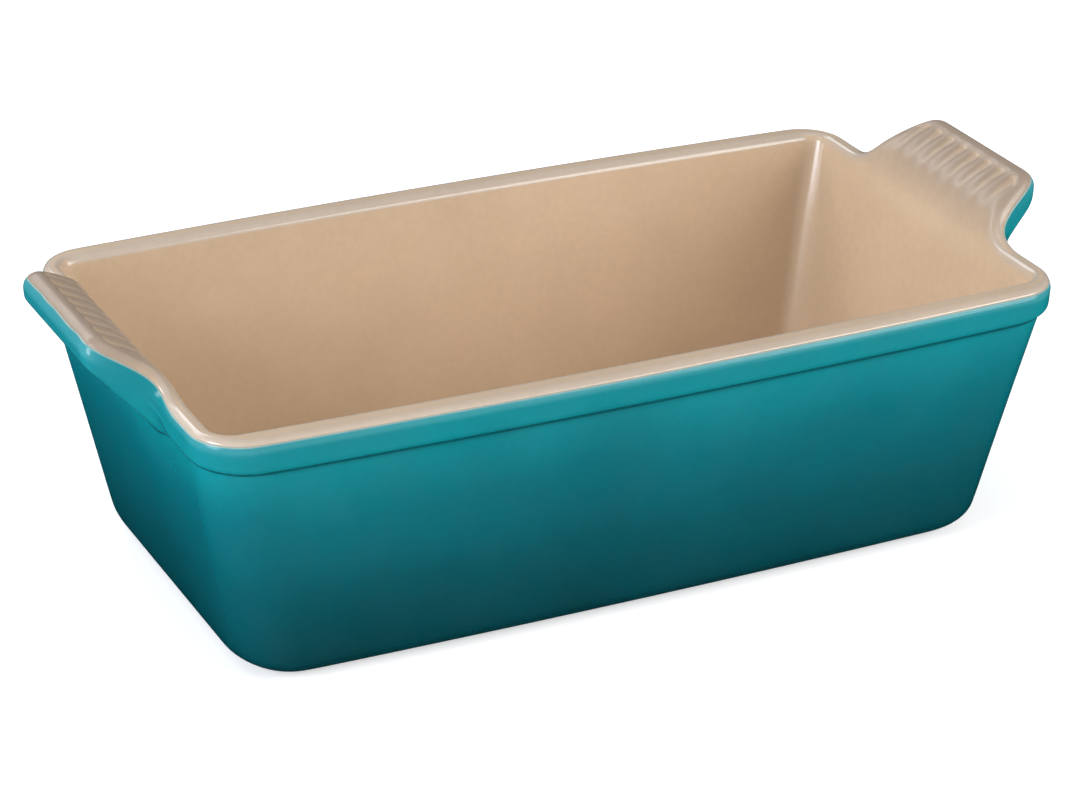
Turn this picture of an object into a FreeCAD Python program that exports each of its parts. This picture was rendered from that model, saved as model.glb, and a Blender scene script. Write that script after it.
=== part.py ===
# Loaf dish of glazed stoneware: a deep rectangular body with a collar round its rim and a grooved lug
# handle at each end. The clay is bare only on its foot ring; elsewhere it carries a coat of glaze.
# Millimetres, +Z up, +X towards one handle. The origin is the middle of the foot, on the table.
import FreeCAD, Part
import os
from math import acos, atan, cos, hypot, pi, sin, tan

# Rim and collar, measured over the glaze
HALF_LENGTH = 133.1         # middle of the dish to the collar's outer face, beside a handle
HALF_WIDTH = 72.0           # the same across the dish, at its ends
RIM_HEIGHT = 81.4
RIM_WIDTH = 8.4             # along the sides
END_RIM_LESS = 2.8          # the ends' rim is narrower by this much
SIDE_COLLAR_STEP = 2.0      # how far the collar stands out from the wall
END_COLLAR_STEP = 1.8
COLLAR_FOOT = 71.1          # height where the wall runs into the collar
COLLAR_DROP = 1.4           # the collar's lower corner stands this much above its foot
COLLAR_SLOPE = 0.2          # the collar's face leans out by this much from bottom to top
COLLAR_HOLLOW = 1.6         # fillet between wall and collar
COLLAR_ROLL = 2.6
RIM_OUTER_ROLL = 3.6
RIM_INNER_ROLL = 3.0

# Walls and floor
END_DRAFT = 0.194           # lean of the walls, as a slope
SIDE_DRAFT = 0.142
CAVITY_END_DRAFT = 0.2
CAVITY_SIDE_DRAFT = 0.17
FLOOR_HEIGHT = 7.0
FLOOR_FILLET = 9.0
FLOOR_FLAT = 1.6            # fillet radii from the cavity's lower corner to the flat floor panel
BASE_FILLET = 11.3
OUTER_CORNER_TOP = 15.1     # corner radius in plan at the rim
OUTER_CORNER_BASE = 17.2
CAVITY_CORNER_TOP = 5.4
CAVITY_CORNER_FLOOR = 8.0
SIDE_BOW = 3.3              # how far the long sides swell at their middle

# Handles
HANDLE_REACH = 17.6         # beyond the collar's face
HANDLE_RISE = 17.8          # above the rim
HANDLE_TIP_THICKNESS = 10.1
HANDLE_TIP_LEAN = 0.9
HANDLE_LOWER_ROLL = 3.7
HANDLE_UPPER_ROLL = 4.0
HANDLE_ROOT = 67.3          # height where the underside springs from the wall
HANDLE_ROOT_FILLET = 1.2
FLARE_RISE = 6.2            # the cavity wall flares out into the handle's top about this far above the rim
FLARE_RADIUS = 30.0
FLARE_SKEW = 1.2            # above 1 the flare tightens sooner beside the handle
REACH_FLAT = 21.0           # half the straight part of the handle's edge
REACH_FADE = 20.0           # beside it the handle's reach fades away over this width
REACH_SKEW = 1.0            # below 1 the fade is steeper at its start
REACH_STEEP = 0.65          # above 0 it is steeper in its middle
RISE_FLAT = 22.5            # the same for its rise
RISE_FADE = 24.0
RISE_SKEW = 0.88
RISE_STEEP = 0.32

# Finger grooves on the handles
GROOVE_COUNT = 8
GROOVE_PITCH = 7.0
GROOVE_WIDTH = 6.6
GROOVE_DEPTH = 0.8
GROOVE_END = 0.6            # length of a groove's round end, in half widths
GROOVE_INSET = 7.0          # from the handle's tip to the middle of a groove's round end
GROOVE_MARGIN = 6.0         # the same, from the handle's edge where that is rounded off
GROOVE_LENGTH = 19.0        # a groove gets shallower and fades out over this length

# Foot and glaze
FOOT_WIDTH = 6.0
FOOT_LIP = 1.0              # outermost strip of the flat foot, where the base fillet starts
RECESS_DEPTH = 1.3
RECESS_LEAN = 0.6
GLAZE = 0.45
BASE_GLAZE_GAP = 0.8        # bare strip between the recess wall and the base glaze
BASE_GLAZE_BEVEL = 0.3

# Poles of the smooth skins: stations round a quarter, and rows up a section
STATIONS = {"handle": 18, "flank": 28, "end": 6, "corner": 10, "side": 14}
HANDLE_END = max(REACH_FLAT + REACH_FADE, RISE_FLAT + RISE_FADE)
STRAIGHT_SHARE = 0.9        # the handle's stations keep within this share of an end wall's straight part
LINE_ROWS = (1, 8, 1, 3, 16, 8, 2)
ARC_ROWS = (9, 4, 4, 9, 14, 8)
FOOT_GLAZE_ROW = 3          # the exterior glaze starts here, on the base fillet
ROLL_ROW = sum(LINE_ROWS[:4]) + sum(ARC_ROWS[:3])
SEAM_ROW = ROLL_ROW + 4     # the two glazes meet here, on the rim's outer roll
DEGREE = 3
SEWING_TOLERANCE = 1e-4
PARTS = "parts"


def mix(a, b, share):
    return a + (b - a) * share


def limit(value):
    return min(max(value, 0.0), 1.0)


def smooth(share):
    """Even step from 0 to 1."""
    share = limit(share)
    return share * share * (3 - 2 * share)


def fade(y, flat, width, skew, steep):
    """Even step from 1, where y is within the flat, down to 0 at a width beyond it."""
    share = limit((y - flat) / width) ** skew
    return 0.5 + 0.5 * cos(pi * share - steep * sin(2 * pi * share) / 2)


def groove(distance, y):
    """Depth of the finger grooves, at a distance inwards from the middle of their round ends."""
    nearest = limit((y - GROOVE_PITCH / 2) / GROOVE_PITCH / (GROOVE_COUNT / 2 - 1)) * (GROOVE_COUNT / 2 - 1)
    middle = GROOVE_PITCH / 2 + GROOVE_PITCH * round(nearest)
    radius = hypot(y - middle, min(distance, 0) / GROOVE_END) / (GROOVE_WIDTH / 2)
    return GROOVE_DEPTH * (1 - smooth(radius)) * (1 - smooth(distance / GROOVE_LENGTH))


def steps(start, end, count):
    """Points from start up to, but not including, end."""
    return [(mix(start[0], end[0], k / count), mix(start[1], end[1], k / count)) for k in range(count)]


def rounded(corners):
    """Points along an open polygon whose inner corners are (offset, height, fillet radius)."""
    points = []
    start = corners[0][:2]
    for i in range(1, len(corners) - 1):
        x, z, radius = corners[i]
        before = (corners[i - 1][0] - x, corners[i - 1][1] - z)
        after = (corners[i + 1][0] - x, corners[i + 1][1] - z)
        a = [value / hypot(*before) for value in before]
        b = [value / hypot(*after) for value in after]
        half = acos(a[0] * b[0] + a[1] * b[1]) / 2
        tangent = radius / tan(half)
        near = (x + a[0] * tangent, z + a[1] * tangent)
        lift = radius / sin(2 * half)
        centre = (x + (a[0] + b[0]) * lift, z + (a[1] + b[1]) * lift)
        arm = (near[0] - centre[0], near[1] - centre[1])
        sweep = (pi - 2 * half) * (1 if a[0] * b[1] < a[1] * b[0] else -1)
        points += steps(start, near, LINE_ROWS[i - 1])
        for k in range(ARC_ROWS[i - 1]):
            turn = sweep * k / ARC_ROWS[i - 1]
            across = arm[0] * cos(turn) - arm[1] * sin(turn)
            up = arm[0] * sin(turn) + arm[1] * cos(turn)
            points.append((centre[0] + across, centre[1] + up))
        start = (x + b[0] * tangent, z + b[1] * tangent)
    end = corners[-1][:2]
    return points + steps(start, end, LINE_ROWS[-1]) + [end]


class Station:
    """An upright section through the wall, on the quarter of the dish where x and y are above 0."""

    def __init__(self, zone, share):
        start = min(REACH_FLAT, RISE_FLAT)
        self.zone = zone
        self.share = share
        self.y = {"handle": start * share, "flank": mix(start, HANDLE_END, share)}.get(zone, HANDLE_END)
        self.reach = fade(self.y, REACH_FLAT, REACH_FADE, REACH_SKEW, REACH_STEEP)
        self.rise = fade(self.y, RISE_FLAT, RISE_FADE, RISE_SKEW, RISE_STEEP)
        side = {"corner": sin(share * pi / 2) ** 2, "side": 1}.get(zone, 0)
        self.draft = mix(END_DRAFT, SIDE_DRAFT, side)
        self.cavity_draft = mix(CAVITY_END_DRAFT, CAVITY_SIDE_DRAFT, side)
        self.collar_step = mix(END_COLLAR_STEP, SIDE_COLLAR_STEP, side)

    def wall(self, height):
        """Outside wall's offset from the cavity's edge, outwards."""
        return RIM_WIDTH - self.collar_step - (COLLAR_FOOT - height) * self.draft

    def foot(self):
        """Offset of the flat foot's outer edge."""
        return self.wall(0) - BASE_FILLET * tan(pi / 4 - atan(self.draft) / 2)

    def section(self):
        """Offset and height of each row: from the foot up the outside, over the rim, to the floor."""
        tip = RIM_WIDTH + HANDLE_REACH
        top = RIM_HEIGHT + HANDLE_RISE
        root = mix(COLLAR_FOOT, HANDLE_ROOT, self.rise)
        flare = FLARE_RISE * self.rise
        floor = (FLOOR_HEIGHT - RIM_HEIGHT) * self.cavity_draft
        blend = (self.reach + self.rise) / 2
        return rounded([
            (self.foot() - FOOT_LIP, -GLAZE, 0),
            (self.wall(0), -GLAZE, BASE_FILLET),
            (self.wall(root), root, mix(COLLAR_HOLLOW, HANDLE_ROOT_FILLET, blend)),
            (
                mix(RIM_WIDTH - COLLAR_SLOPE, tip - HANDLE_TIP_LEAN, self.reach),
                mix(COLLAR_FOOT + COLLAR_DROP, top - HANDLE_TIP_THICKNESS, self.rise),
                mix(COLLAR_ROLL, HANDLE_LOWER_ROLL, blend),
            ),
            (
                mix(RIM_WIDTH, tip, self.reach),
                mix(RIM_HEIGHT, top, self.rise),
                mix(RIM_OUTER_ROLL, HANDLE_UPPER_ROLL, blend),
            ),
            (
                flare * self.cavity_draft,
                RIM_HEIGHT + flare,
                mix(RIM_INNER_ROLL, FLARE_RADIUS, blend ** FLARE_SKEW),
            ),
            (floor, FLOOR_HEIGHT, FLOOR_FILLET),
            (floor - FLOOR_FLAT * FLOOR_FILLET, FLOOR_HEIGHT, 0),
        ])

    def place(self, offset, height, inside):
        """Point at an offset from the cavity's edge; inside goes from 0 at the collar to 1 in the cavity."""
        rise = limit(height / RIM_HEIGHT)
        outer = mix(OUTER_CORNER_BASE, OUTER_CORNER_TOP, rise)
        inner = mix(CAVITY_CORNER_FLOOR, CAVITY_CORNER_TOP, rise)
        corner = mix(outer, inner, inside)
        x = HALF_LENGTH - RIM_WIDTH + offset + END_RIM_LESS * inside
        y = HALF_WIDTH - RIM_WIDTH + offset
        if self.zone == "corner":
            x -= corner * (1 - cos(self.share * pi / 2))
            y -= corner * (1 - sin(self.share * pi / 2))
        elif self.zone == "side":
            x = (x - corner) * (1 - self.share)
        else:
            straight = y - corner
            reach = self.y * limit(STRAIGHT_SHARE * straight / HANDLE_END)
            y = mix(reach, straight, self.share) if self.zone == "end" else reach
        y += SIDE_BOW * max(1 - (x / HALF_LENGTH) ** 2, 0) * y / HALF_WIDTH
        return FreeCAD.Vector(x, y, height)

    def column(self):
        """Poles of the glazed skin at this station."""
        poles = []
        for row, (offset, height) in enumerate(self.section()):
            inside = limit(1 - offset / RIM_WIDTH) if row >= ROLL_ROW else 0
            poles.append(self.place(offset, height, inside))
        tip = HALF_LENGTH + HANDLE_REACH
        start = min(tip - GROOVE_INSET, poles[SEAM_ROW].x - GROOVE_MARGIN)
        for pole in poles[SEAM_ROW:]:
            pole.z -= groove(start - pole.x, pole.y)
        return poles

    def recess_column(self):
        """Poles of the recess under the dish, from the foot ring's inner edge to the panel."""
        edge = self.foot() - FOOT_WIDTH
        rows = [
            (edge, 0),
            (edge - RECESS_LEAN / 2, 0),
            (edge - RECESS_LEAN, RECESS_DEPTH / 4),
            (edge - RECESS_LEAN, RECESS_DEPTH * 3 / 4),
            (edge - RECESS_LEAN * 3 / 2, RECESS_DEPTH),
            (edge - RECESS_LEAN * 2, RECESS_DEPTH),
        ]
        return [self.place(offset, height, 0) for offset, height in rows]

    def base_glaze_column(self):
        """Outline of the base glaze where it meets the clay, and at its lower face."""
        edge = self.foot() - FOOT_WIDTH - RECESS_LEAN * 2 - BASE_GLAZE_GAP
        return [
            self.place(edge, RECESS_DEPTH, 0),
            self.place(edge - BASE_GLAZE_BEVEL, RECESS_DEPTH - GLAZE, 0),
        ]


def mirrored(columns, x_sign, y_sign):
    return [[FreeCAD.Vector(p.x * x_sign, p.y * y_sign, p.z) for p in column] for column in columns]


def all_round(quarter):
    """Columns round the whole dish, counterclockwise from the middle of the +X end."""
    return (
        quarter
        + mirrored(quarter[-2::-1], -1, 1)
        + mirrored(quarter[1:], -1, -1)
        + mirrored(quarter[-2:0:-1], 1, -1)
    )


def inset(net, depth):
    """Poles of a skin that lies inside another by a depth."""
    inner = []
    for i, column in enumerate(net):
        following = net[(i + 1) % len(net)]
        poles = []
        for row, pole in enumerate(column):
            along = following[row] - net[i - 1][row]
            up = column[min(row + 1, len(column) - 1)] - column[max(row - 1, 0)]
            poles.append(pole - along.cross(up).normalize() * depth)
        inner.append(poles)
    return inner


class Skin:
    """Smooth surface round the dish, in two halves that meet at the middle of the long sides."""

    def __init__(self, net):
        self.rows = len(net[0])
        self.degree = min(DEGREE, self.rows - 1)
        spans = self.rows - self.degree
        self.surface = Part.BSplineSurface()
        self.surface.buildFromPolesMultsKnots(
            net,
            [1] * (len(net) + 1),
            [self.degree + 1] + [1] * (spans - 1) + [self.degree + 1],
            list(range(len(net) + 1)),
            list(range(spans + 1)),
            True,
            False,
            DEGREE,
            self.degree,
        )
        quarter = len(net) // 4
        self.ends = [(quarter - 1, 3 * quarter - 1), (3 * quarter - 1, 5 * quarter - 1)]

    def level(self, row):
        """Surface parameter at a row of poles."""
        return min(max(row - self.degree // 2, 0), self.rows - self.degree)

    def faces(self, first=0, last=None):
        """The two halves, between two rows."""
        last = self.rows - 1 if last is None else last
        halves = []
        for start, end in self.ends:
            half = self.surface.copy()
            half.segment(start, end, self.level(first), self.level(last))
            halves.append(half.toShape())
        return halves

    def edges(self, row):
        """The two halves of the curve at a row."""
        curve = self.surface.vIso(self.level(row))
        return [curve.toShape(start, end) for start, end in self.ends]


def strip(edges, others):
    """Narrow band between two curves round the dish."""
    return [Part.makeRuledSurface(a, b) for a, b in zip(edges, others)]


def panel(*outlines):
    """Flat face inside the first outline and outside the others."""
    return [Part.makeFace([Part.Wire(edges) for edges in outlines], "Part::FaceMakerBullseye")]


def closed(faces):
    """Solid bounded by faces that meet edge to edge."""
    shell = Part.makeShell(faces)
    shell.sewShape(SEWING_TOLERANCE)
    solid = Part.Solid(shell)
    if solid.Volume < 0:
        solid.reverse()
    return solid


def stoneware_body(clay, recess):
    last = clay.rows - 1
    return closed(
        clay.faces()
        + panel(clay.edges(last))
        + panel(clay.edges(0), recess.edges(0))
        + recess.faces()
        + panel(recess.edges(recess.rows - 1))
    )


def exterior_glaze(glazed, clay):
    return closed(
        glazed.faces(FOOT_GLAZE_ROW, SEAM_ROW)
        + clay.faces(FOOT_GLAZE_ROW, SEAM_ROW)
        + strip(glazed.edges(FOOT_GLAZE_ROW), clay.edges(FOOT_GLAZE_ROW))
        + strip(glazed.edges(SEAM_ROW), clay.edges(SEAM_ROW))
    )


def interior_glaze(glazed, clay):
    last = glazed.rows - 1
    return closed(
        glazed.faces(SEAM_ROW)
        + clay.faces(SEAM_ROW)
        + strip(glazed.edges(SEAM_ROW), clay.edges(SEAM_ROW))
        + panel(glazed.edges(last))
        + panel(clay.edges(last))
    )


def base_glaze(outline):
    return closed(outline.faces() + panel(outline.edges(0)) + panel(outline.edges(1)))


def main():
    quarter = []
    for zone, count in STATIONS.items():
        quarter += [Station(zone, k / count) for k in range(count)]
    quarter.append(Station("side", 1.0))

    net = all_round([station.column() for station in quarter])
    glazed = Skin(net)
    clay = Skin(inset(net, GLAZE))
    recess = Skin(all_round([station.recess_column() for station in quarter]))
    outline = Skin(all_round([station.base_glaze_column() for station in quarter]))

    parts = {
        "stoneware_body": stoneware_body(clay, recess),
        "exterior_glaze": exterior_glaze(glazed, clay),
        "interior_glaze": interior_glaze(glazed, clay),
        "base_glaze": base_glaze(outline),
    }
    os.makedirs(PARTS, exist_ok=True)
    for name, solid in parts.items():
        solid.exportStep(f"{PARTS}/{name}.step")


main()
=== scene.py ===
"""Looks of a glazed stoneware loaf dish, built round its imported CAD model. Metres, +Z up."""

from math import acos, atan, cos, hypot, pi, radians, sin, tan

import bpy
import numpy as np
from mathutils import Matrix, Vector


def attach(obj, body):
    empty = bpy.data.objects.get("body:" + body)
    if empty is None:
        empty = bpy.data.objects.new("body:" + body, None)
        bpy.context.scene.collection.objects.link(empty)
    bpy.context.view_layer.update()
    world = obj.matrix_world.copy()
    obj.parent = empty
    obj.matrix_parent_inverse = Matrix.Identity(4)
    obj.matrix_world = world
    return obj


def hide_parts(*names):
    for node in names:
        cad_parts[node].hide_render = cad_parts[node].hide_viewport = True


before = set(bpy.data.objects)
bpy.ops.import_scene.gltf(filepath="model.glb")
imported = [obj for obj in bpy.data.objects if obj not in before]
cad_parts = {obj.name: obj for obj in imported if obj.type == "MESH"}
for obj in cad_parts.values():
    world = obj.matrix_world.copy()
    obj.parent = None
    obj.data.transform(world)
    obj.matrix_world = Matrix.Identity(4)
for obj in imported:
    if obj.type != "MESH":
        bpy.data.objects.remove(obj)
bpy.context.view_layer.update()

# The dish's driving dimensions, in millimetres, as in the CAD source
MILLIMETRE = 0.001

HALF_LENGTH = 133.1
HALF_WIDTH = 72.0
RIM_HEIGHT = 81.4
RIM_WIDTH = 8.4
END_RIM_LESS = 2.8
SIDE_COLLAR_STEP = 2.0
END_COLLAR_STEP = 1.8
COLLAR_FOOT = 71.1
COLLAR_DROP = 1.4
COLLAR_SLOPE = 0.2
COLLAR_HOLLOW = 1.6
COLLAR_ROLL = 2.6
RIM_OUTER_ROLL = 3.6
RIM_INNER_ROLL = 3.0

END_DRAFT = 0.194
SIDE_DRAFT = 0.142
CAVITY_END_DRAFT = 0.2
CAVITY_SIDE_DRAFT = 0.17
FLOOR_HEIGHT = 7.0
FLOOR_FILLET = 9.0
FLOOR_FLAT = 1.6
BASE_FILLET = 11.3
OUTER_CORNER_TOP = 15.1
OUTER_CORNER_BASE = 17.2
CAVITY_CORNER_TOP = 5.4
CAVITY_CORNER_FLOOR = 8.0
SIDE_BOW = 3.3

HANDLE_REACH = 17.6
HANDLE_RISE = 17.8
HANDLE_TIP_THICKNESS = 10.1
HANDLE_TIP_LEAN = 0.9
HANDLE_LOWER_ROLL = 3.7
HANDLE_UPPER_ROLL = 4.0
HANDLE_ROOT = 67.3
HANDLE_ROOT_FILLET = 1.2
FLARE_RISE = 6.2
FLARE_RADIUS = 30.0
FLARE_SKEW = 1.2
REACH_FLAT = 21.0
REACH_FADE = 20.0
REACH_SKEW = 1.0
REACH_STEEP = 0.65
RISE_FLAT = 22.5
RISE_FADE = 24.0
RISE_SKEW = 0.88
RISE_STEEP = 0.32

GROOVE_COUNT = 8
GROOVE_PITCH = 7.0
GROOVE_WIDTH = 6.6
GROOVE_DEPTH = 0.8
GROOVE_END = 0.6
GROOVE_INSET = 7.0
GROOVE_MARGIN = 6.0
GROOVE_LENGTH = 19.0

FOOT_WIDTH = 6.0
FOOT_LIP = 1.0
RECESS_DEPTH = 1.3
RECESS_LEAN = 0.6
GLAZE = 0.45
BASE_GLAZE_GAP = 0.8
BASE_GLAZE_BEVEL = 0.3

STATIONS = {"handle": 18, "flank": 28, "end": 6, "corner": 10, "side": 14}
HANDLE_END = max(REACH_FLAT + REACH_FADE, RISE_FLAT + RISE_FADE)
STRAIGHT_SHARE = 0.9
LINE_ROWS = (1, 8, 1, 3, 16, 8, 2)
ARC_ROWS = (9, 4, 4, 9, 14, 8)
FOOT_GLAZE_ROW = 3
ROLL_ROW = sum(LINE_ROWS[:4]) + sum(ARC_ROWS[:3])
SEAM_ROW = ROLL_ROW + 4

# How finely the pieces are meshed, and how the fired glaze strays from the ideal
COLUMNS_PER_STATION = 2
ROWS_PER_POLE = 2
HIDDEN_ROWS = 60            # rows on a coat's hidden side
SEAM_WANDER = 0.22          # how far the seam strays, in rows of poles
FOOT_WANDER = 0.10
WANDER_WAVES = 9
WANDER_SEED = 7
LIP = 0.6                   # width of a coat's rounded edge, mm
SEAM_LIP_THICKNESS = 0.55   # share of the glaze's thickness left where the two coats meet
FOOT_LIP_THICKNESS = 0.15
LIP_ROWS = 5
CURVE_SCALE = 3.0           # a convex radius this tight, mm, counts as fully bent: the glaze runs fully thin and the painted edge light is full
BEND_REACH = 2
BEND_SMOOTHING = 3
PANEL_RINGS = 4
PANEL_FILL = 0.7            # how far the rings of a flat panel close in on its middle line
RECESS_ROWS = 9
FOOT_LIP_ROWS = 0.4         # widths of the coats' rounded edges, in rows of poles
SEAM_LIP_ROWS = 1.0
WANDER_TURNS = (3, 40)      # waves round the dish that the seam's and the foot line's wander is made of
WANDER_WEIGHTS = (0.4, 1)
SHARP_ANGLE = 50.0          # edges sharper than this, in degrees, aren't shaded smooth

# Looks. Colours are linear; scales count per metre. A noise is (scale, detail, ...), a spread is the
# lowest and highest result, and a fade is (low, high, result at low, result at high).
NOISE_LOW, NOISE_HIGH = 0.3, 0.7
MOTTLE = (420, 4)
CLOUD = (38, 3)
SHADE_SPREAD = (0.975, 1.02)
ROUGH_PATCHES = (90, 4)
GLAZE_IOR = 1.52
RIPPLE = (75, 1)
RIPPLE_BUMP = (0.00015, 0.2)        # distance in metres, strength
PEEL = (900, 2)
PEEL_BUMP = (0.00002, 0.25)

# Turquoise glaze, from the table up to the handles' tips
TURQUOISE = (
    (0.00, (0.000, 0.039, 0.047)),
    (0.30, (0.000, 0.076, 0.092)),
    (0.56, (0.000, 0.125, 0.150)),
    # The wall brightens fastest up to this stop at the collar's foot: the glaze darkens towards the foot,
    # and a painted sheen lies under the collar
    (0.76, (0.002, 0.200, 0.224)),
    (1.00, (0.008, 0.195, 0.222)),
)
TURQUOISE_TOP = 0.096
DRIFT = (16, 3)
DRIFT_SPREAD = (-0.004, 0.004)
# Pale cyan on sharp bends just under the seam: thin glaze, and a painted highlight line along the collar's
# roll
THIN_TURQUOISE_HIGHLIGHT = (0.10, 0.36, 0.39, 1)
THIN_TURQUOISE_HIGHLIGHT_FADE = (0.15, 1.0, 0.0, 0.35)      # by how sharply the surface bends
THIN_TURQUOISE_HIGHLIGHT_REACH = (2.5, 5.0, 1.0, 0.0)       # by millimetres from the seam
# Dark teal in creases: glaze pooling, strengthened into painted shade under the collar and along the
# handles' roots
POOLED_TURQUOISE_AND_SHADE = (0.0, 0.05, 0.058, 1)
POOLED_TURQUOISE_AND_SHADE_FADE = (-0.6, -0.03, 0.8, 0.0)
SEAM_CREAM = (0.62, 0.60, 0.50, 1)
SEAM_CREAM_REACH = (0.0, 0.7, 0.6, 0.0)
TURQUOISE_SPECK = (0.0, 0.09, 0.11, 1)
TURQUOISE_SPECKS = (300, 0.10, 0.02)              # scale, size, share of the cells that have one
TURQUOISE_ROUGHNESS = (0.20, 0.26)
TURQUOISE_SPECULAR = 0.3

# Sand glaze
SAND = (
    (0.30, (0.60, 0.435, 0.285)),
    (0.70, (0.63, 0.460, 0.305)),
)
SAND_PATCHES = (22, 3)
# Greyer pink on convex edges and the rim's rolls: thin glaze, and the rolls' painted shading
THIN_SAND_AND_SHADE = (0.52, 0.43, 0.345, 1)
THIN_SAND_AND_SHADE_FADE = (0.1, 0.9, 0.0, 0.8)
# Darker brown over the handles: thin glaze, and painted shade on their upward faces
HANDLE_SAND_SHADE = (0.30, 0.222, 0.165, 1)
HANDLE_SAND_SHADE_RISE = (0.077, 0.094, 0.0, 0.85)      # by height
HANDLE_SAND_SHADE_FADE = (-0.25, 0.08, 0.68, 1.0)       # paler in the grooves than on the ridges between them
# Deeper sand in hollows: glaze pooling, and painted shade in corners and grooves
POOLED_SAND_AND_SHADE = (0.52, 0.36, 0.22, 1)
POOLED_SAND_AND_SHADE_FADE = (-0.8, -0.05, 0.3, 0.0)
SAND_SPECK = (0.47, 0.34, 0.21, 1)
SAND_SPECKS = (340, 0.10, 0.03)
SAND_ROUGHNESS = (0.32, 0.42)
SAND_GLOSS_FALL = (0.080, 0.090, 0.8, 0.0)        # the glassy face gives out towards the handles' tips
SAND_GLOSS_ROUGHNESS = 0.12

# Bare clay
CLAY = (
    (0.25, (0.52, 0.39, 0.27)),
    (0.75, (0.66, 0.52, 0.38)),
)
CLAY_PATCHES = (900, 5, 0.65)
CLAY_SPECK = (0.18, 0.11, 0.07, 1)
CLAY_SPECKS = (600, 0.25, 0.10)
CLAY_DULLNESS = (500, 3)
CLAY_ROUGHNESS = (0.78, 0.94)
GRAIN = (1800, 4, 0.7)
GRAIN_BUMP = (0.00012, 0.5)
UNEVENNESS = (220, 3)
UNEVENNESS_BUMP = (0.0002, 0.4)

# Studio, in metres and degrees; azimuth 0 is in front of the dish and 90 at its +X end
FLOOR_HALF_SIZE = 4.0
FLOOR = (
    (0.3, (0.80, 0.80, 0.80)),
    (0.7, (0.84, 0.84, 0.84)),
)
FLOOR_PATCHES = (3, 2)
FLOOR_ROUGHNESS = 0.85
FLOOR_GLOW = 0.5
WORLD = (
    (0.0, (0.01, 0.015, 0.02)),
    (1.0, (0.9, 0.92, 0.95)),
)
WORLD_RISE = (-0.2, 0.25, 0.0, 1.0)               # from dark below the floor to pale above it
WORLD_STRENGTH = 0.3
WHITE = (1, 1, 1)
SOFT_LIGHTS = {                                   # azimuth, elevation, distance, size, watts, colour
    "overhead": (-10, 75, 1.4, (1.2, 0.9), 3, WHITE),
    "front_right": (44, 24, 1.5, (0.9, 0.9), 16, WHITE),
    "left": (-80, 19, 1.5, (0.6, 1.0), 19, (0.94, 1.0, 1.1)),
    "back": (-160, 40, 1.5, (1.4, 0.5), 8, WHITE),
}
AIM = Vector((0, 0, 0.038))
CAMERA_AZIMUTH = -26.50
CAMERA_ELEVATION = 25.33
CAMERA_ROLL = 0.94
CAMERA_DISTANCE = 1.0565
CAMERA_LENS = 119.6
CAMERA_SHIFT = (-0.0047, 0.0108)
CAMERA_CLIP = (0.05, 20)
SENSOR = 36.0


def mix(a, b, share):
    return a + (b - a) * share


def limit(value):
    return min(max(value, 0.0), 1.0)


def smooth(share):
    """Even step from 0 to 1."""
    share = limit(share)
    return share * share * (3 - 2 * share)


def fade(y, flat, width, skew, steep):
    """Even step from 1, where y is within the flat, down to 0 at a width beyond it."""
    share = limit((y - flat) / width) ** skew
    return 0.5 + 0.5 * cos(pi * share - steep * sin(2 * pi * share) / 2)


def groove(distance, y):
    """Depth of the finger grooves, at a distance inwards from the middle of their round ends."""
    nearest = limit((y - GROOVE_PITCH / 2) / GROOVE_PITCH / (GROOVE_COUNT / 2 - 1)) * (GROOVE_COUNT / 2 - 1)
    middle = GROOVE_PITCH / 2 + GROOVE_PITCH * round(nearest)
    radius = hypot(y - middle, min(distance, 0) / GROOVE_END) / (GROOVE_WIDTH / 2)
    return GROOVE_DEPTH * (1 - smooth(radius)) * (1 - smooth(distance / GROOVE_LENGTH))


def steps(start, end, count):
    """Points from start up to, but not including, end."""
    return [(mix(start[0], end[0], k / count), mix(start[1], end[1], k / count)) for k in range(count)]


def rounded(corners):
    """Points along an open polygon whose inner corners are (offset, height, fillet radius)."""
    points = []
    start = corners[0][:2]
    for i in range(1, len(corners) - 1):
        x, z, radius = corners[i]
        before = (corners[i - 1][0] - x, corners[i - 1][1] - z)
        after = (corners[i + 1][0] - x, corners[i + 1][1] - z)
        a = [value / hypot(*before) for value in before]
        b = [value / hypot(*after) for value in after]
        half = acos(a[0] * b[0] + a[1] * b[1]) / 2
        tangent = radius / tan(half)
        near = (x + a[0] * tangent, z + a[1] * tangent)
        lift = radius / sin(2 * half)
        centre = (x + (a[0] + b[0]) * lift, z + (a[1] + b[1]) * lift)
        arm = (near[0] - centre[0], near[1] - centre[1])
        sweep = (pi - 2 * half) * (1 if a[0] * b[1] < a[1] * b[0] else -1)
        points += steps(start, near, LINE_ROWS[i - 1])
        for k in range(ARC_ROWS[i - 1]):
            turn = sweep * k / ARC_ROWS[i - 1]
            across = arm[0] * cos(turn) - arm[1] * sin(turn)
            up = arm[0] * sin(turn) + arm[1] * cos(turn)
            points.append((centre[0] + across, centre[1] + up))
        start = (x + b[0] * tangent, z + b[1] * tangent)
    end = corners[-1][:2]
    return points + steps(start, end, LINE_ROWS[-1]) + [end]


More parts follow.
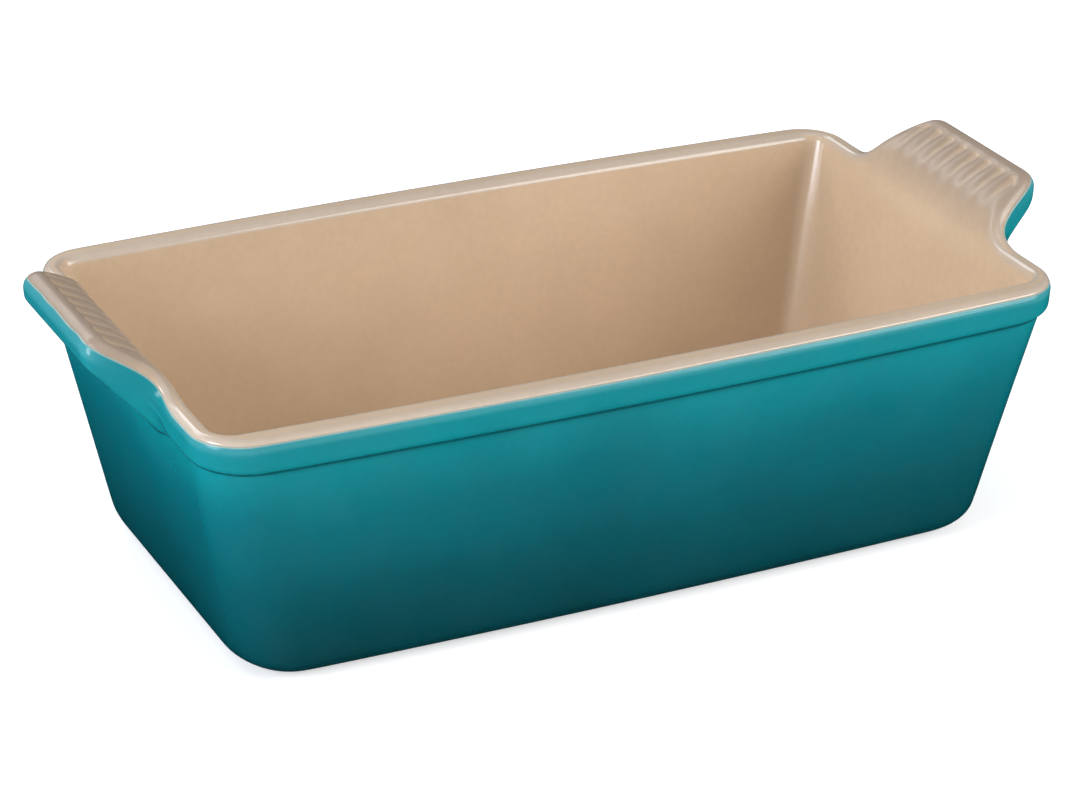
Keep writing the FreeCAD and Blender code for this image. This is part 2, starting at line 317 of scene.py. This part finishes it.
class Station:
    """An upright section through the wall, on the quarter of the dish where x and y are above 0."""

    def __init__(self, zone, share):
        start = min(REACH_FLAT, RISE_FLAT)
        self.zone = zone
        self.share = share
        self.y = {"handle": start * share, "flank": mix(start, HANDLE_END, share)}.get(zone, HANDLE_END)
        self.reach = fade(self.y, REACH_FLAT, REACH_FADE, REACH_SKEW, REACH_STEEP)
        self.rise = fade(self.y, RISE_FLAT, RISE_FADE, RISE_SKEW, RISE_STEEP)
        side = {"corner": sin(share * pi / 2) ** 2, "side": 1}.get(zone, 0)
        self.draft = mix(END_DRAFT, SIDE_DRAFT, side)
        self.cavity_draft = mix(CAVITY_END_DRAFT, CAVITY_SIDE_DRAFT, side)
        self.collar_step = mix(END_COLLAR_STEP, SIDE_COLLAR_STEP, side)

    def wall(self, height):
        """Outside wall's offset from the cavity's edge, outwards."""
        return RIM_WIDTH - self.collar_step - (COLLAR_FOOT - height) * self.draft

    def foot(self):
        """Offset of the flat foot's outer edge."""
        return self.wall(0) - BASE_FILLET * tan(pi / 4 - atan(self.draft) / 2)

    def section(self):
        """Offset and height of each row: from the foot up the outside, over the rim, to the floor."""
        tip = RIM_WIDTH + HANDLE_REACH
        top = RIM_HEIGHT + HANDLE_RISE
        root = mix(COLLAR_FOOT, HANDLE_ROOT, self.rise)
        flare = FLARE_RISE * self.rise
        floor = (FLOOR_HEIGHT - RIM_HEIGHT) * self.cavity_draft
        blend = (self.reach + self.rise) / 2
        return rounded([
            (self.foot() - FOOT_LIP, -GLAZE, 0),
            (self.wall(0), -GLAZE, BASE_FILLET),
            (self.wall(root), root, mix(COLLAR_HOLLOW, HANDLE_ROOT_FILLET, blend)),
            (
                mix(RIM_WIDTH - COLLAR_SLOPE, tip - HANDLE_TIP_LEAN, self.reach),
                mix(COLLAR_FOOT + COLLAR_DROP, top - HANDLE_TIP_THICKNESS, self.rise),
                mix(COLLAR_ROLL, HANDLE_LOWER_ROLL, blend),
            ),
            (
                mix(RIM_WIDTH, tip, self.reach),
                mix(RIM_HEIGHT, top, self.rise),
                mix(RIM_OUTER_ROLL, HANDLE_UPPER_ROLL, blend),
            ),
            (
                flare * self.cavity_draft,
                RIM_HEIGHT + flare,
                mix(RIM_INNER_ROLL, FLARE_RADIUS, blend ** FLARE_SKEW),
            ),
            (floor, FLOOR_HEIGHT, FLOOR_FILLET),
            (floor - FLOOR_FLAT * FLOOR_FILLET, FLOOR_HEIGHT, 0),
        ])

    def place(self, offset, height, inside):
        """Point at an offset from the cavity's edge; inside goes from 0 at the collar to 1 in the cavity."""
        rise = limit(height / RIM_HEIGHT)
        outer = mix(OUTER_CORNER_BASE, OUTER_CORNER_TOP, rise)
        inner = mix(CAVITY_CORNER_FLOOR, CAVITY_CORNER_TOP, rise)
        corner = mix(outer, inner, inside)
        x = HALF_LENGTH - RIM_WIDTH + offset + END_RIM_LESS * inside
        y = HALF_WIDTH - RIM_WIDTH + offset
        if self.zone == "corner":
            x -= corner * (1 - cos(self.share * pi / 2))
            y -= corner * (1 - sin(self.share * pi / 2))
        elif self.zone == "side":
            x = (x - corner) * (1 - self.share)
        else:
            straight = y - corner
            reach = self.y * limit(STRAIGHT_SHARE * straight / HANDLE_END)
            y = mix(reach, straight, self.share) if self.zone == "end" else reach
        y += SIDE_BOW * max(1 - (x / HALF_LENGTH) ** 2, 0) * y / HALF_WIDTH
        return (x, y, height)

    def column(self):
        """Poles of the glazed skin at this station."""
        poles = []
        for row, (offset, height) in enumerate(self.section()):
            inside = limit(1 - offset / RIM_WIDTH) if row >= ROLL_ROW else 0
            poles.append(self.place(offset, height, inside))
        tip = HALF_LENGTH + HANDLE_REACH
        start = min(tip - GROOVE_INSET, poles[SEAM_ROW][0] - GROOVE_MARGIN)
        sunk = [(x, y, z - groove(start - x, y)) for x, y, z in poles[SEAM_ROW:]]
        return poles[:SEAM_ROW] + sunk

    def recess_column(self):
        """Poles of the recess under the dish, from the foot ring's inner edge to the panel."""
        edge = self.foot() - FOOT_WIDTH
        rows = [
            (edge, 0),
            (edge - RECESS_LEAN / 2, 0),
            (edge - RECESS_LEAN, RECESS_DEPTH / 4),
            (edge - RECESS_LEAN, RECESS_DEPTH * 3 / 4),
            (edge - RECESS_LEAN * 3 / 2, RECESS_DEPTH),
            (edge - RECESS_LEAN * 2, RECESS_DEPTH),
        ]
        return [self.place(offset, height, 0) for offset, height in rows]

    def base_glaze_column(self):
        """Outline of the base glaze where it meets the clay, and down its rounded edge to its face."""
        edge = self.foot() - FOOT_WIDTH - RECESS_LEAN * 2 - BASE_GLAZE_GAP
        rows = [(edge, RECESS_DEPTH)]
        for k in range(LIP_ROWS):
            turn = pi / 2 * k / (LIP_ROWS - 1)
            rows.append((edge - BASE_GLAZE_BEVEL * (1 - cos(turn)), RECESS_DEPTH - GLAZE * sin(turn)))
        return [self.place(offset, height, 0) for offset, height in rows[1:]]


def all_round(quarter):
    """Columns round the whole dish, counterclockwise from the middle of the +X end."""
    quarter = np.array(quarter)
    return np.concatenate([
        quarter,
        quarter[-2::-1] * (-1, 1, 1),
        quarter[1:] * (-1, -1, 1),
        quarter[-2:0:-1] * (1, -1, 1),
    ])


def unit(vectors):
    return vectors / np.linalg.norm(vectors, axis=-1, keepdims=True)


def inset(net, depth):
    """Poles of a skin that lies inside another by a depth."""
    along = np.roll(net, -1, axis=0) - np.roll(net, 1, axis=0)
    ends = np.concatenate([net[:, :1], net, net[:, -1:]], axis=1)
    return net - unit(np.cross(along, ends[:, 2:] - ends[:, :-2])) * depth


def pole_weights(share):
    """Weights of the four poles round a place on a uniform cubic spline."""
    share = np.asarray(share, dtype=float)
    return (
        (1 - share) ** 3 / 6,
        (3 * share ** 3 - 6 * share ** 2 + 4) / 6,
        (-3 * share ** 3 + 3 * share ** 2 + 3 * share + 1) / 6,
        share ** 3 / 6,
    )


def dense_columns(net):
    """Columns on the skin, some at the stations and some between them."""
    columns = np.empty((COLUMNS_PER_STATION * len(net), *net.shape[1:]))
    for k in range(COLUMNS_PER_STATION):
        weights = pole_weights(k / COLUMNS_PER_STATION)
        columns[k::COLUMNS_PER_STATION] = sum(w * np.roll(net, 1 - j, axis=0) for j, w in enumerate(weights))
    return columns


def at_levels(columns, levels):
    """Points on the skin: for each column, at each of its levels, counted in rows of poles."""
    before = 2 * columns[:, :1] - columns[:, 1:2]
    after = 2 * columns[:, -1:] - columns[:, -2:-1]
    padded = np.concatenate([before, columns, after], axis=1)
    cell = np.clip(np.floor(levels).astype(int), 0, columns.shape[1] - 2)
    column = np.arange(len(columns))[:, None]
    weights = pole_weights(levels - cell)
    return sum(w[..., None] * padded[column, cell + j] for j, w in enumerate(weights))


def spread(first, last, count):
    """Levels from first to last for each column; first and last may be one number or one for each."""
    first, last = np.broadcast_arrays(np.atleast_1d(first).astype(float), np.atleast_1d(last).astype(float))
    share = np.linspace(0, 1, count)
    return first[:, None] * (1 - share) + last[:, None] * share


def wander(count, size, rng):
    """Slow random wave round the dish, the same at both its ends."""
    turn = np.linspace(0, 2 * pi, count, endpoint=False)
    wave = np.zeros(count)
    for k in range(WANDER_WAVES):
        phase = turn * rng.integers(*WANDER_TURNS) + rng.uniform(0, 2 * pi)
        wave += np.sin(phase) * rng.uniform(*WANDER_WEIGHTS)
    return size * wave / np.abs(wave).max()


def neighbours(values, reach):
    """Values a number of columns after and before, and of rows above and below, each point."""
    rows = np.arange(values.shape[1])
    above = values[:, np.minimum(rows + reach, rows[-1])]
    below = values[:, np.maximum(rows - reach, 0)]
    return np.roll(values, -reach, axis=0), np.roll(values, reach, axis=0), above, below


def bend(points):
    """How sharply a grid of points bends outwards, 1 for a convex radius of CURVE_SCALE."""
    after, before, above, below = neighbours(points, 1)
    normal = unit(np.cross(after - before, above - below))
    for _ in range(BEND_SMOOTHING):
        normal = unit(normal * 2 + sum(neighbours(normal, 1)))
    after, before, above, below = neighbours(points, BEND_REACH)
    normal_after, normal_before, normal_above, normal_below = neighbours(normal, BEND_REACH)
    along, up = after - before, above - below
    sharpness = ((normal_after - normal_before) * along).sum(-1) / (along * along).sum(-1)
    sharpness += ((normal_above - normal_below) * up).sum(-1) / (up * up).sum(-1)
    for _ in range(BEND_SMOOTHING):
        sharpness = (sharpness * 2 + sum(neighbours(sharpness, 1))) / 6
    return np.clip(sharpness * CURVE_SCALE, -1, 1)


def panel_rings(ring):
    """Rings that close in from a flat outline on its middle line."""
    reach = ring[:, 0].max() - ring[:, 1].max()
    middle = np.stack([np.clip(ring[:, 0], -reach, reach), np.zeros(len(ring)), ring[:, 2]], -1)
    return [mix(ring, middle, PANEL_FILL * (k + 1) / PANEL_RINGS) for k in range(PANEL_RINGS)]


def lattice_faces(count, rows, joined):
    """Quads between neighbouring rings, and across the open middles at both ends unless these are joined."""
    vertex = np.arange(count * rows).reshape(rows, count)
    following = np.roll(vertex, -1, axis=1)
    if joined:
        upper, upper_following = np.roll(vertex, -1, axis=0), np.roll(following, -1, axis=0)
        lower, lower_following = vertex, following
    else:
        upper, upper_following = vertex[1:], following[1:]
        lower, lower_following = vertex[:-1], following[:-1]
    faces = np.stack([lower, lower_following, upper_following, upper], -1).reshape(-1, 4).tolist()
    if not joined:
        for ring, turn in ((vertex[0].tolist(), -1), (vertex[-1].tolist(), 1)):
            for i in range(count // 2):
                face = [ring[i], ring[i + 1], ring[count - i - 1], ring[-i]]
                faces.append(list(dict.fromkeys(face))[::turn])
    return faces


def make_piece(name, rings, joined, node, slot, **fields):
    """Mesh piece from rings round the dish, standing for a CAD node. Fields are values for each point."""
    rings = list(np.moveaxis(rings, 1, 0))
    fields = {key: list(np.moveaxis(values, 1, 0)) for key, values in fields.items()}
    if not joined:
        start, end = panel_rings(rings[0]), panel_rings(rings[-1])
        for values in fields.values():
            values[:0] = [values[0]] * len(start)
            values += [values[-1]] * len(end)
        rings = start[::-1] + rings + end
    count = len(rings[0])
    mesh = bpy.data.meshes.new(name)
    points = np.concatenate(rings) * MILLIMETRE
    mesh.from_pydata(points.tolist(), [], lattice_faces(count, len(rings), joined))
    mesh.validate()
    mesh.shade_smooth()
    mesh.set_sharp_from_angle(angle=radians(SHARP_ANGLE))
    for key, values in fields.items():
        attribute = mesh.attributes.new(key, "FLOAT", "POINT")
        attribute.data.foreach_set("value", np.concatenate(values).astype(np.float32))
    piece = bpy.data.objects.new(name, mesh)
    bpy.context.scene.collection.objects.link(piece)
    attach(piece, "root")
    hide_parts(node)
    return piece


def lip_share(levels, points, thickness, from_start):
    """Thickness left near a coat's edge, rounded over the lip's width."""
    length = np.linalg.norm(np.diff(points, axis=1), axis=-1)
    distance = np.concatenate([np.zeros((len(points), 1)), np.cumsum(length, axis=1)], axis=1)
    if not from_start:
        distance = distance[:, -1:] - distance
    near = np.clip(1 - distance / LIP, 0, 1)
    return 1 - (1 - thickness) * (1 - np.sqrt(1 - near ** 2)), distance


def edged(first, last, rows, lip_first, lip_last):
    """Levels from first to last with close rows for the lips, whose widths are in rows of poles."""
    body = spread(first + lip_first, last - lip_last, rows)
    share = np.sin(np.linspace(0, pi / 2, LIP_ROWS, endpoint=False)) ** 2
    parts = [body]
    if lip_first:
        parts.insert(0, np.broadcast_to(first, len(body))[:, None] + lip_first * share)
    if lip_last:
        parts.append(np.broadcast_to(last, len(body))[:, None] - lip_last * share[::-1])
    return np.concatenate(parts, axis=1)


def build_pieces():
    quarter = []
    for zone, count in STATIONS.items():
        quarter += [Station(zone, k / count) for k in range(count)]
    quarter.append(Station("side", 1.0))

    net = all_round([station.column() for station in quarter])
    glazed = dense_columns(net)
    clay = dense_columns(inset(net, GLAZE))
    rng = np.random.default_rng(WANDER_SEED)
    seam = SEAM_ROW + wander(len(glazed), SEAM_WANDER, rng)
    foot = FOOT_GLAZE_ROW + wander(len(glazed), FOOT_WANDER, rng)
    last = net.shape[1] - 1

    # Outside coat, from just above the foot ring up to the seam
    levels = edged(foot, seam, (SEAM_ROW - FOOT_GLAZE_ROW) * ROWS_PER_POLE, FOOT_LIP_ROWS, SEAM_LIP_ROWS)
    outer, inner = at_levels(glazed, levels), at_levels(clay, levels)
    foot_share, _ = lip_share(levels, outer, FOOT_LIP_THICKNESS, True)
    seam_share, seam_distance = lip_share(levels, outer, SEAM_LIP_THICKNESS, False)
    shown = inner + (outer - inner) * (foot_share * seam_share)[..., None]
    hidden = at_levels(clay, spread(seam, foot, HIDDEN_ROWS))
    flat = np.zeros(hidden.shape[:2])
    exterior = make_piece(
        "exterior_glaze_coat",
        np.concatenate([shown, hidden], axis=1),
        True,
        "exterior_glaze",
        "exterior_glaze",
        bend=np.concatenate([bend(outer), flat], axis=1),
        seam=np.concatenate([seam_distance, flat], axis=1),
    )

    # Inside coat, from the seam over the rim and down to the floor
    levels = edged(seam, last, (last - SEAM_ROW) * ROWS_PER_POLE, SEAM_LIP_ROWS, 0)
    outer, inner = at_levels(glazed, levels), at_levels(clay, levels)
    seam_share, seam_distance = lip_share(levels, outer, SEAM_LIP_THICKNESS, True)
    shown = inner + (outer - inner) * seam_share[..., None]
    hidden = at_levels(clay, spread(last, seam, HIDDEN_ROWS))
    flat = np.zeros(hidden.shape[:2])
    interior = make_piece(
        "interior_glaze_coat",
        np.concatenate([hidden, shown], axis=1),
        False,
        "interior_glaze",
        "interior_glaze",
        bend=np.concatenate([flat, bend(outer)], axis=1),
        seam=np.concatenate([flat, seam_distance], axis=1),
    )

    # Clay body: recess, foot ring, and the whole skin under the glazes
    recess = dense_columns(all_round([station.recess_column() for station in quarter]))
    under = at_levels(recess, spread(recess.shape[1] - 1, 0, RECESS_ROWS))
    body = at_levels(clay, spread(0, last, last + 1))
    body[:, 0, 2] = 0
    stoneware = make_piece(
        "stoneware_clay", np.concatenate([under, body], axis=1), False, "stoneware_body", "stoneware",
    )

    # Glaze on the panel underneath
    outline = dense_columns(all_round([station.base_glaze_column() for station in quarter]))
    base = make_piece("base_glaze_coat", outline[:, ::-1], False, "base_glaze", "base_glaze")
    return exterior, interior, stoneware, base


def make_material(name):
    material = bpy.data.materials.new(name)
    material.use_nodes = True
    tree = material.node_tree
    tree.nodes.clear()
    output = tree.nodes.new("ShaderNodeOutputMaterial")
    shader = tree.nodes.new("ShaderNodeBsdfPrincipled")
    tree.links.new(shader.outputs[0], output.inputs[0])
    return material, tree, shader


def add(tree, kind, inputs=None, **settings):
    """Adds a node; inputs maps socket names or numbers to values or to other nodes' outputs."""
    node = tree.nodes.new(kind)
    for key, value in settings.items():
        setattr(node, key, value)
    for key, value in (inputs or {}).items():
        if isinstance(value, bpy.types.NodeSocket):
            tree.links.new(value, node.inputs[key])
        else:
            node.inputs[key].default_value = value
    return node


def calculate(tree, operation, a, b):
    return add(tree, "ShaderNodeMath", {0: a, 1: b}, operation=operation).outputs[0]


def place_of(tree):
    return add(tree, "ShaderNodeTexCoord").outputs["Object"]


def height_of(tree):
    return add(tree, "ShaderNodeSeparateXYZ", {0: place_of(tree)}).outputs[2]


def attribute(tree, name):
    return add(tree, "ShaderNodeAttribute", attribute_name=name).outputs["Fac"]


def noise(tree, scale, detail, roughness=0.5):
    """Noise between 0 and 1."""
    inputs = {"Vector": place_of(tree), "Scale": scale, "Detail": detail, "Roughness": roughness}
    return add(tree, "ShaderNodeTexNoise", inputs).outputs[0]


def remap(tree, value, low, high, to_low, to_high):
    inputs = {0: value, 1: low, 2: high, 3: to_low, 4: to_high}
    return add(tree, "ShaderNodeMapRange", inputs, interpolation_type="SMOOTHSTEP").outputs[0]


def varied(tree, pattern, lowest, highest):
    """Value that varies over the piece, between the lowest and the highest, by a noise."""
    return remap(tree, noise(tree, *pattern), NOISE_LOW, NOISE_HIGH, lowest, highest)


def blend(tree, share, a, b, mode="MIX"):
    node = add(tree, "ShaderNodeMix", {0: share, 6: a, 7: b}, data_type="RGBA", blend_type=mode)
    return node.outputs[2]


def ramp(tree, value, stops):
    """Colour ramp from (position, linear colour) stops."""
    node = add(tree, "ShaderNodeValToRGB", {0: value})
    elements = node.color_ramp.elements
    while len(elements) < len(stops):
        elements.new(0.5)
    for element, (position, colour) in zip(elements, stops):
        element.position = position
        element.color = (*colour, 1)
    return node.outputs[0]


def bump(tree, heights):
    """Chain of bumps from (height, distance in metres, strength)."""
    normal = None
    for height, distance, strength in heights:
        inputs = {"Height": height, "Distance": distance, "Strength": strength}
        if normal is not None:
            inputs["Normal"] = normal
        normal = add(tree, "ShaderNodeBump", inputs).outputs[0]
    return normal


def specks(tree, colour, speck_colour, scale, size, rarity):
    """Scattered small specks in a glaze or clay."""
    cells = add(tree, "ShaderNodeTexVoronoi", {"Vector": place_of(tree), "Scale": scale, "Randomness": 1.0})
    near = remap(tree, cells.outputs["Distance"], size / 2, size, 1.0, 0.0)
    pick = add(tree, "ShaderNodeSeparateColor", {0: cells.outputs["Color"]}).outputs[0]
    chosen = calculate(tree, "GREATER_THAN", pick, 1 - rarity)
    return blend(tree, calculate(tree, "MULTIPLY", near, chosen), colour, speck_colour)


def glaze_surface(tree, shader, colour, roughness):
    """Finish that all glazes share: fine mottling, orange peel and slow ripples under a glassy face."""
    mottle = varied(tree, MOTTLE, *SHADE_SPREAD)
    cloud = varied(tree, CLOUD, *SHADE_SPREAD)
    shade = calculate(tree, "MULTIPLY", mottle, cloud)
    shades = add(tree, "ShaderNodeCombineColor", {0: shade, 1: shade, 2: shade}).outputs[0]
    tree.links.new(blend(tree, 1.0, colour, shades, "MULTIPLY"), shader.inputs["Base Color"])
    tree.links.new(varied(tree, ROUGH_PATCHES, *roughness), shader.inputs["Roughness"])
    shader.inputs["IOR"].default_value = GLAZE_IOR
    peel = noise(tree, *PEEL)
    ripple = noise(tree, *RIPPLE)
    tree.links.new(bump(tree, [(ripple, *RIPPLE_BUMP), (peel, *PEEL_BUMP)]), shader.inputs["Normal"])


def turquoise(tree):
    """Turquoise that turns from deep teal at the foot to bright at the collar, the band just under the
    collar lightened by a painted sheen.
    """
    drift = varied(tree, DRIFT, *DRIFT_SPREAD)
    level = calculate(tree, "DIVIDE", calculate(tree, "ADD", height_of(tree), drift), TURQUOISE_TOP)
    return ramp(tree, level, TURQUOISE)


def exterior_colour(tree):
    """Turquoise, pale on the rim's edge where the glaze runs thin and a highlight is painted, dark in
    creases where it pools and shade is painted, with a cream line at the seam.
    """
    colour = turquoise(tree)
    edge_distance = attribute(tree, "seam")
    # Painted highlight along the collar's upper roll, together with the glaze's thinning there
    sharp = remap(tree, attribute(tree, "bend"), *THIN_TURQUOISE_HIGHLIGHT_FADE)
    near_rim = remap(tree, edge_distance, *THIN_TURQUOISE_HIGHLIGHT_REACH)
    colour = blend(tree, calculate(tree, "MULTIPLY", sharp, near_rim), colour, THIN_TURQUOISE_HIGHLIGHT)
    # Painted shade in creases, over pooled glaze
    pooled_and_shaded = remap(tree, attribute(tree, "bend"), *POOLED_TURQUOISE_AND_SHADE_FADE)
    colour = blend(tree, pooled_and_shaded, colour, POOLED_TURQUOISE_AND_SHADE)
    return blend(tree, remap(tree, edge_distance, *SEAM_CREAM_REACH), colour, SEAM_CREAM)


def sand_colour(tree):
    """Sand glaze, greyer pink on edges where it runs thin and their shading is painted, browner over the
    handles with painted shade on their tops, and deeper in hollows where it pools and shade is painted.
    """
    colour = ramp(tree, noise(tree, *SAND_PATCHES), SAND)
    # Painted shading of the rim's rolls and edges, together with the glaze's thinning there
    thin_and_shaded = remap(tree, attribute(tree, "bend"), *THIN_SAND_AND_SHADE_FADE)
    colour = blend(tree, thin_and_shaded, colour, THIN_SAND_AND_SHADE)
    # Painted shade over the handles' tops, darker on their ridges than in the grooves
    raised = remap(tree, height_of(tree), *HANDLE_SAND_SHADE_RISE)
    ridge = remap(tree, attribute(tree, "bend"), *HANDLE_SAND_SHADE_FADE)
    colour = blend(tree, calculate(tree, "MULTIPLY", raised, ridge), colour, HANDLE_SAND_SHADE)
    # Painted shade in hollows, over pooled glaze
    pooled_and_shaded = remap(tree, attribute(tree, "bend"), *POOLED_SAND_AND_SHADE_FADE)
    return blend(tree, pooled_and_shaded, colour, POOLED_SAND_AND_SHADE)


def exterior_material():
    material, tree, shader = make_material("turquoise_glaze")
    colour = specks(tree, exterior_colour(tree), TURQUOISE_SPECK, *TURQUOISE_SPECKS)
    glaze_surface(tree, shader, colour, TURQUOISE_ROUGHNESS)
    shader.inputs["Specular IOR Level"].default_value = TURQUOISE_SPECULAR
    return material


def interior_material():
    material, tree, shader = make_material("sand_glaze")
    colour = specks(tree, sand_colour(tree), SAND_SPECK, *SAND_SPECKS)
    glaze_surface(tree, shader, colour, SAND_ROUGHNESS)
    tree.links.new(remap(tree, height_of(tree), *SAND_GLOSS_FALL), shader.inputs["Coat Weight"])
    shader.inputs["Coat Roughness"].default_value = SAND_GLOSS_ROUGHNESS
    return material


def base_material():
    material, tree, shader = make_material("deep_teal_glaze")
    colour = specks(tree, turquoise(tree), TURQUOISE_SPECK, *TURQUOISE_SPECKS)
    glaze_surface(tree, shader, colour, TURQUOISE_ROUGHNESS)
    return material


def clay_material():
    material, tree, shader = make_material("bare_clay")
    colour = ramp(tree, noise(tree, *CLAY_PATCHES), CLAY)
    colour = specks(tree, colour, CLAY_SPECK, *CLAY_SPECKS)
    tree.links.new(colour, shader.inputs["Base Color"])
    tree.links.new(varied(tree, CLAY_DULLNESS, *CLAY_ROUGHNESS), shader.inputs["Roughness"])
    grain = [(noise(tree, *GRAIN), *GRAIN_BUMP), (noise(tree, *UNEVENNESS), *UNEVENNESS_BUMP)]
    tree.links.new(bump(tree, grain), shader.inputs["Normal"])
    return material


def floor_material():
    material, tree, shader = make_material("pale_floor")
    tree.links.new(ramp(tree, noise(tree, *FLOOR_PATCHES), FLOOR), shader.inputs["Base Color"])
    shader.inputs["Roughness"].default_value = FLOOR_ROUGHNESS
    shader.inputs["Emission Color"].default_value = (*WHITE, 1)
    shader.inputs["Emission Strength"].default_value = FLOOR_GLOW
    return material


def build_floor():
    size = FLOOR_HALF_SIZE
    corners = [(-size, -size, 0), (size, -size, 0), (size, size, 0), (-size, size, 0)]
    mesh = bpy.data.meshes.new("floor")
    mesh.from_pydata(corners, [], [(0, 1, 2, 3)])
    floor = bpy.data.objects.new("floor", mesh)
    bpy.context.scene.collection.objects.link(floor)
    mesh.materials.append(floor_material())
    floor.visible_glossy = False


def build_world():
    """Pale studio all round above the floor, dark below it."""
    world = bpy.data.worlds.new("studio")
    bpy.context.scene.world = world
    world.use_nodes = True
    tree = world.node_tree
    tree.nodes.clear()
    output = tree.nodes.new("ShaderNodeOutputWorld")
    direction = add(tree, "ShaderNodeTexCoord").outputs["Generated"]
    height = add(tree, "ShaderNodeSeparateXYZ", {0: direction}).outputs[2]
    colour = ramp(tree, remap(tree, height, *WORLD_RISE), WORLD)
    background = add(tree, "ShaderNodeBackground", {0: colour, 1: WORLD_STRENGTH})
    tree.links.new(background.outputs[0], output.inputs[0])


def outwards(azimuth, elevation):
    """Direction from the dish towards a camera or light."""
    a, e = radians(azimuth), radians(elevation)
    return Vector((sin(a) * cos(e), -cos(a) * cos(e), sin(e)))


def soft_light(name, azimuth, elevation, distance, size, power, colour):
    """Rectangular softbox aimed at the dish."""
    away = outwards(azimuth, elevation)
    data = bpy.data.lights.new(name, "AREA")
    data.shape = "RECTANGLE"
    data.size, data.size_y = size
    data.energy = power
    data.color = colour
    light = bpy.data.objects.new(name, data)
    light.location = AIM + away * distance
    light.rotation_euler = away.to_track_quat("Z", "Y").to_euler()
    bpy.context.scene.collection.objects.link(light)


def build_camera():
    away = outwards(CAMERA_AZIMUTH, CAMERA_ELEVATION)
    data = bpy.data.cameras.new("camera")
    data.sensor_width = SENSOR
    data.lens = CAMERA_LENS
    data.shift_x, data.shift_y = CAMERA_SHIFT
    data.clip_start, data.clip_end = CAMERA_CLIP
    camera = bpy.data.objects.new("camera", data)
    turn = away.to_track_quat("Z", "Y").to_matrix() @ Matrix.Rotation(radians(CAMERA_ROLL), 3, "Z")
    camera.matrix_world = Matrix.Translation(AIM + away * CAMERA_DISTANCE) @ turn.to_4x4()
    bpy.context.scene.collection.objects.link(camera)
    bpy.context.scene.camera = camera


def main():
    exterior, interior, stoneware, base = build_pieces()
    exterior.data.materials.append(exterior_material())
    interior.data.materials.append(interior_material())
    stoneware.data.materials.append(clay_material())
    base.data.materials.append(base_material())
    build_floor()
    build_world()
    for name, settings in SOFT_LIGHTS.items():
        soft_light(name, *settings)
    bpy.context.scene.view_settings.view_transform = "Standard"
    build_camera()


main()
